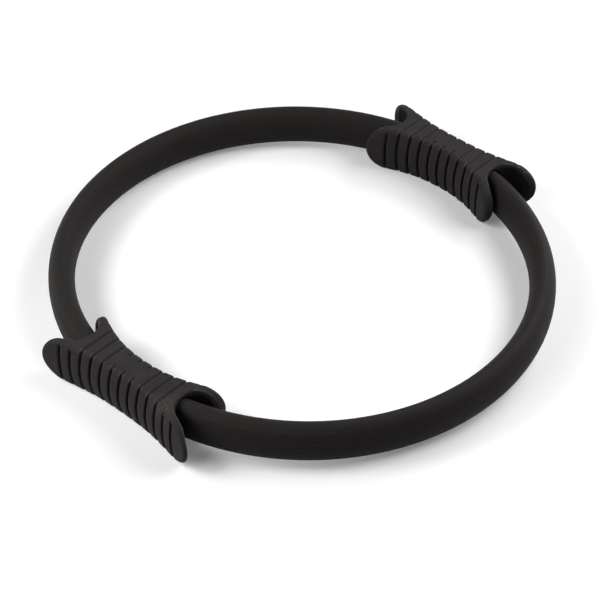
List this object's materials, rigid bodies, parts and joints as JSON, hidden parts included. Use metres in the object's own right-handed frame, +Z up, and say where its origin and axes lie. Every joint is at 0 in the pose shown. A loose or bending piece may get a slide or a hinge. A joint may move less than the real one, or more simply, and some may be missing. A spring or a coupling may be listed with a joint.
{
  "type": "pilates ring",
  "caption": "Flexible exercise ring: sprung arms in soft oval tubes joined inside ribbed double-sided rubber grips that are pressed together between hands or legs.",
  "frame": {"origin": "middle of the ring, on the surface that it lies on", "axes": "+Z up out of the ring's plane, +Y towards the far grip, so that the grips are pressed together along Y, +X across the arms"},
  "size_m": [0.36, 0.3688, 0.0375],
  "materials": {
    "grip_rubber": "moulded matte rubber",
    "tube_rubber": "extruded satin foam rubber",
    "spring_composite": "pultruded glass fibre",
    "joiner_nylon": "moulded nylon",
    "fastener_steel": "zinc plated"
  },
  "bodies": {
    "near_side": {"near_grip": "grip_rubber", "near_joiner_outer": "joiner_nylon", "near_joiner_inner": "joiner_nylon", "near_bolts": "fastener_steel", "near_washers": "fastener_steel", "near_nuts": "fastener_steel", "left_tube": "tube_rubber", "left_outer_spring": "spring_composite", "left_inner_spring": "spring_composite", "right_tube": "tube_rubber", "right_outer_spring": "spring_composite", "right_inner_spring": "spring_composite"},
    "far_side": {"far_grip": "grip_rubber", "far_joiner_outer": "joiner_nylon", "far_joiner_inner": "joiner_nylon", "far_bolts": "fastener_steel", "far_washers": "fastener_steel", "far_nuts": "fastener_steel"}
  },
  "joints": [
    {"name": "squeeze", "type": "slide", "parent": "near_side", "child": "far_side", "axis": [0, -1, 0], "range_m": [-0.02, 0.08], "stiffness_N_per_m": 2400, "deforming": ["left_tube", "left_outer_spring", "left_inner_spring", "right_tube", "right_outer_spring", "right_inner_spring"]}
  ]
}
